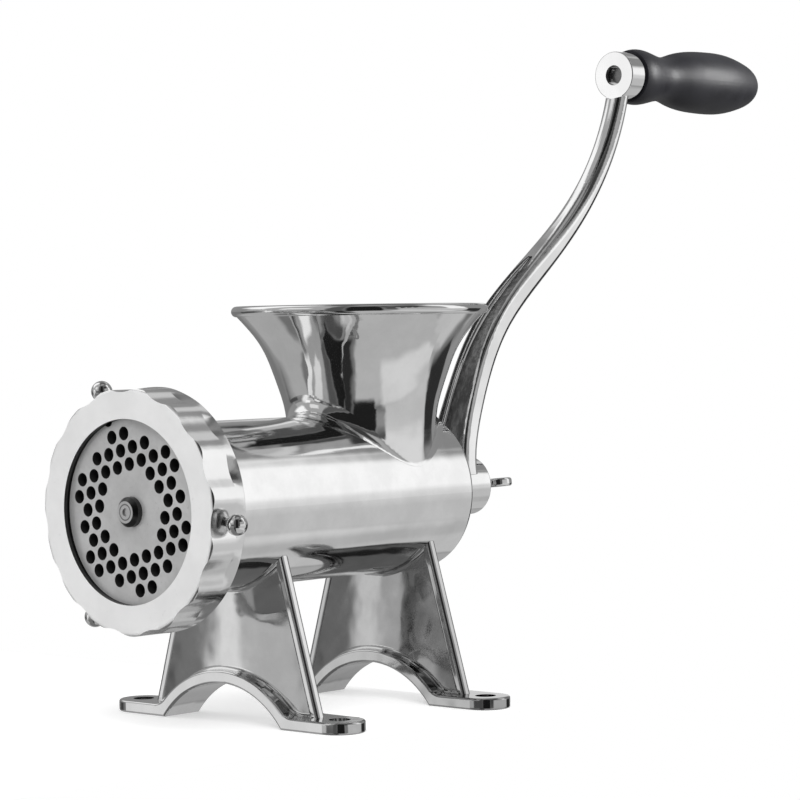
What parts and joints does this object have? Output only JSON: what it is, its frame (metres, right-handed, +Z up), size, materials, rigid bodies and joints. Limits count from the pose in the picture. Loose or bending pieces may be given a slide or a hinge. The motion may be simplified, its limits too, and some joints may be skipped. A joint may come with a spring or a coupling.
{
  "type": "hand crank meat grinder",
  "caption": "Polished steel hand crank meat grinder: flared hopper on a barrel, perforated plate under a scalloped ring nut, curved crank with dark grip, arched bolt-down legs.",
  "frame": {"origin": "centre of the four foot holes, on the plane the feet stand on", "axes": "+Z up, -Y towards the cutting end, +Y towards the crank, +X to the right seen from the cutting end"},
  "size_m": [0.1348, 0.4304, 0.2947],
  "materials": {
    "polished_steel": "mirror polished cast stainless steel",
    "ring_steel": "fine satin",
    "plate_steel": "ground, matt",
    "satin_steel": "satin",
    "dark_steel": "blackened",
    "bronze": "machined",
    "nylon": "moulded",
    "grip_plastic": "moulded, soft sheen"
  },
  "bodies": {
    "frame": {"barrel": "polished_steel", "hopper": "polished_steel", "front_leg": "polished_steel", "rear_leg": "polished_steel", "rear_bush": "bronze", "plate_key": "satin_steel", "grinding_plate": "plate_steel"},
    "rotor": {"auger": "satin_steel", "auger_stud": "satin_steel", "thrust_washer": "nylon", "knife": "plate_steel", "crank_arm": "polished_steel", "grip_bolt": "dark_steel", "grip_washer": "dark_steel"},
    "ring": {"ring_nut": "ring_steel", "ring_knobs": "polished_steel"},
    "screw": {"wing_screw": "polished_steel"},
    "handle": {"grip": "grip_plastic"}
  },
  "joints": [
    {"name": "crank_turn", "type": "hinge", "parent": "frame", "child": "rotor", "pos_m": [0, 0, 0.0895], "axis": [0, -1, 0], "continuous": true},
    {"name": "ring_nut_turn", "type": "hinge", "parent": "frame", "child": "ring", "pos_m": [0, -0.0966, 0.0895], "axis": [0, -1, 0], "range_deg": [0, 1350]},
    {"name": "wing_screw_turn", "type": "hinge", "parent": "rotor", "child": "screw", "pos_m": [0, 0.1034, 0.0895], "axis": [0, 1, 0], "range_deg": [0, 5040]},
    {"name": "grip_spin", "type": "hinge", "parent": "rotor", "child": "handle", "pos_m": [0, 0.2736, 0.2795], "axis": [0, 1, 0], "continuous": true}
  ]
}
